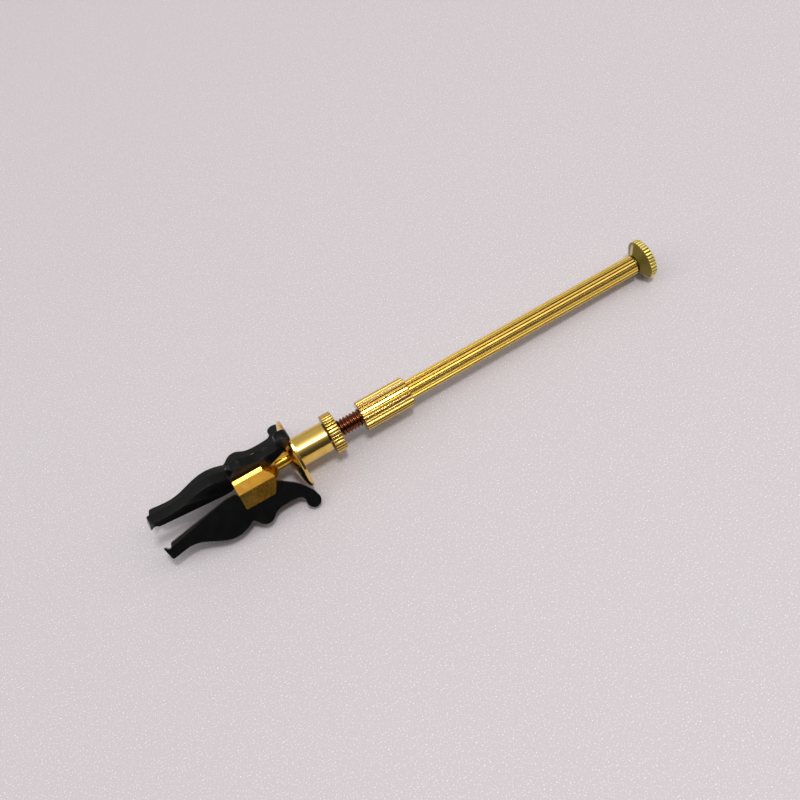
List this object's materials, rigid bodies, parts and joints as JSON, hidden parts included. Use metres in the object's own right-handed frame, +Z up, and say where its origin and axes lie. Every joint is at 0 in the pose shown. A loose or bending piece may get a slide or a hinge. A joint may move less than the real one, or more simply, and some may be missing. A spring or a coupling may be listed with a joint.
{
  "type": "three-claw puller",
  "caption": "Small three-claw hand puller: black claws in a brass carrier, closed by a screwed flange, with a knurled handle that drives a central pressure rod.",
  "frame": {"origin": "on the bench, under the middle of the tool's own box as it lies at rest", "axes": "+X along the tool from the claws to the end knob, in the bench's plane; the tool's axis drops 2.15 degrees from the flange to the knob; +Z up from the bench"},
  "size_m": [0.1158, 0.0204, 0.0188],
  "materials": {
    "brass": "turned and knurled, bright",
    "warm_brass": "milled, satin, warm tone",
    "bronze": "threaded, dull copper-brown",
    "black_steel": "blackened, smooth semi-gloss",
    "spring_steel": "ground"
  },
  "bodies": {
    "frame": {"claw_carrier": "warm_brass", "threaded_stem": "bronze", "grip_collar": "brass", "screw_nut": "bronze", "pivot_pin_1": "warm_brass", "pivot_pin_2": "warm_brass", "pivot_pin_3": "warm_brass", "claw_spring_1": "spring_steel", "claw_spring_2": "spring_steel", "claw_spring_3": "spring_steel"},
    "flange": {"spreader_flange": "brass"},
    "adjuster": {"adjuster_sleeve": "brass", "adjuster_ring": "brass", "flange_clip": "spring_steel"},
    "tip": {"pressure_tip": "spring_steel"},
    "screw": {"pressure_screw": "spring_steel", "handle": "brass", "end_knob": "brass"},
    "claw_1_arm": {"claw_1": "black_steel"},
    "claw_2_arm": {"claw_2": "black_steel"},
    "claw_3_arm": {"claw_3": "black_steel"}
  },
  "joints": [
    {"name": "flange_slide", "type": "slide", "parent": "frame", "child": "flange", "axis": [-0.9993, 0, 0.0376], "range_m": [-0.00075, 0.00131]},
    {"name": "adjuster_turn", "type": "hinge", "parent": "flange", "child": "adjuster", "pos_m": [-0.02632, -0.00051, 0.00741], "axis": [-0.9993, 0, 0.0376], "range_deg": [-360, 630]},
    {"name": "tip_slide", "type": "slide", "parent": "frame", "child": "tip", "axis": [-0.9993, 0, 0.0376], "range_m": [0, 0.0045]},
    {"name": "screw_turn", "type": "hinge", "parent": "tip", "child": "screw", "pos_m": [-0.00034, -0.00051, 0.00643], "axis": [-0.9993, 0, 0.0376], "range_deg": [0, 2160]},
    {"name": "claw_1_pivot", "type": "hinge", "parent": "frame", "child": "claw_1_arm", "pos_m": [-0.03797, -0.00089, 0.01138], "axis": [-0.004, -0.9944, -0.1058], "range_deg": [-3.43, 6]},
    {"name": "claw_2_pivot", "type": "hinge", "parent": "frame", "child": "claw_2_arm", "pos_m": [-0.03818, -0.00338, 0.00576], "axis": [-0.0304, 0.5889, -0.8077], "range_deg": [-3.43, 6]},
    {"name": "claw_3_pivot", "type": "hinge", "parent": "frame", "child": "claw_3_arm", "pos_m": [-0.03816, 0.00274, 0.00641], "axis": [0.0343, 0.4055, 0.9134], "range_deg": [-3.43, 6]}
  ],
  "couplings": [
    {"joint": "flange_slide", "follows": "adjuster_turn", "m_per_rad": 0.00011937},
    {"joint": "tip_slide", "follows": "screw_turn", "m_per_rad": 0.00011937},
    {"joint": "claw_1_pivot", "follows": "adjuster_turn", "ratio": 0.0095238},
    {"joint": "claw_2_pivot", "follows": "adjuster_turn", "ratio": 0.0095238},
    {"joint": "claw_3_pivot", "follows": "adjuster_turn", "ratio": 0.0095238}
  ]
}
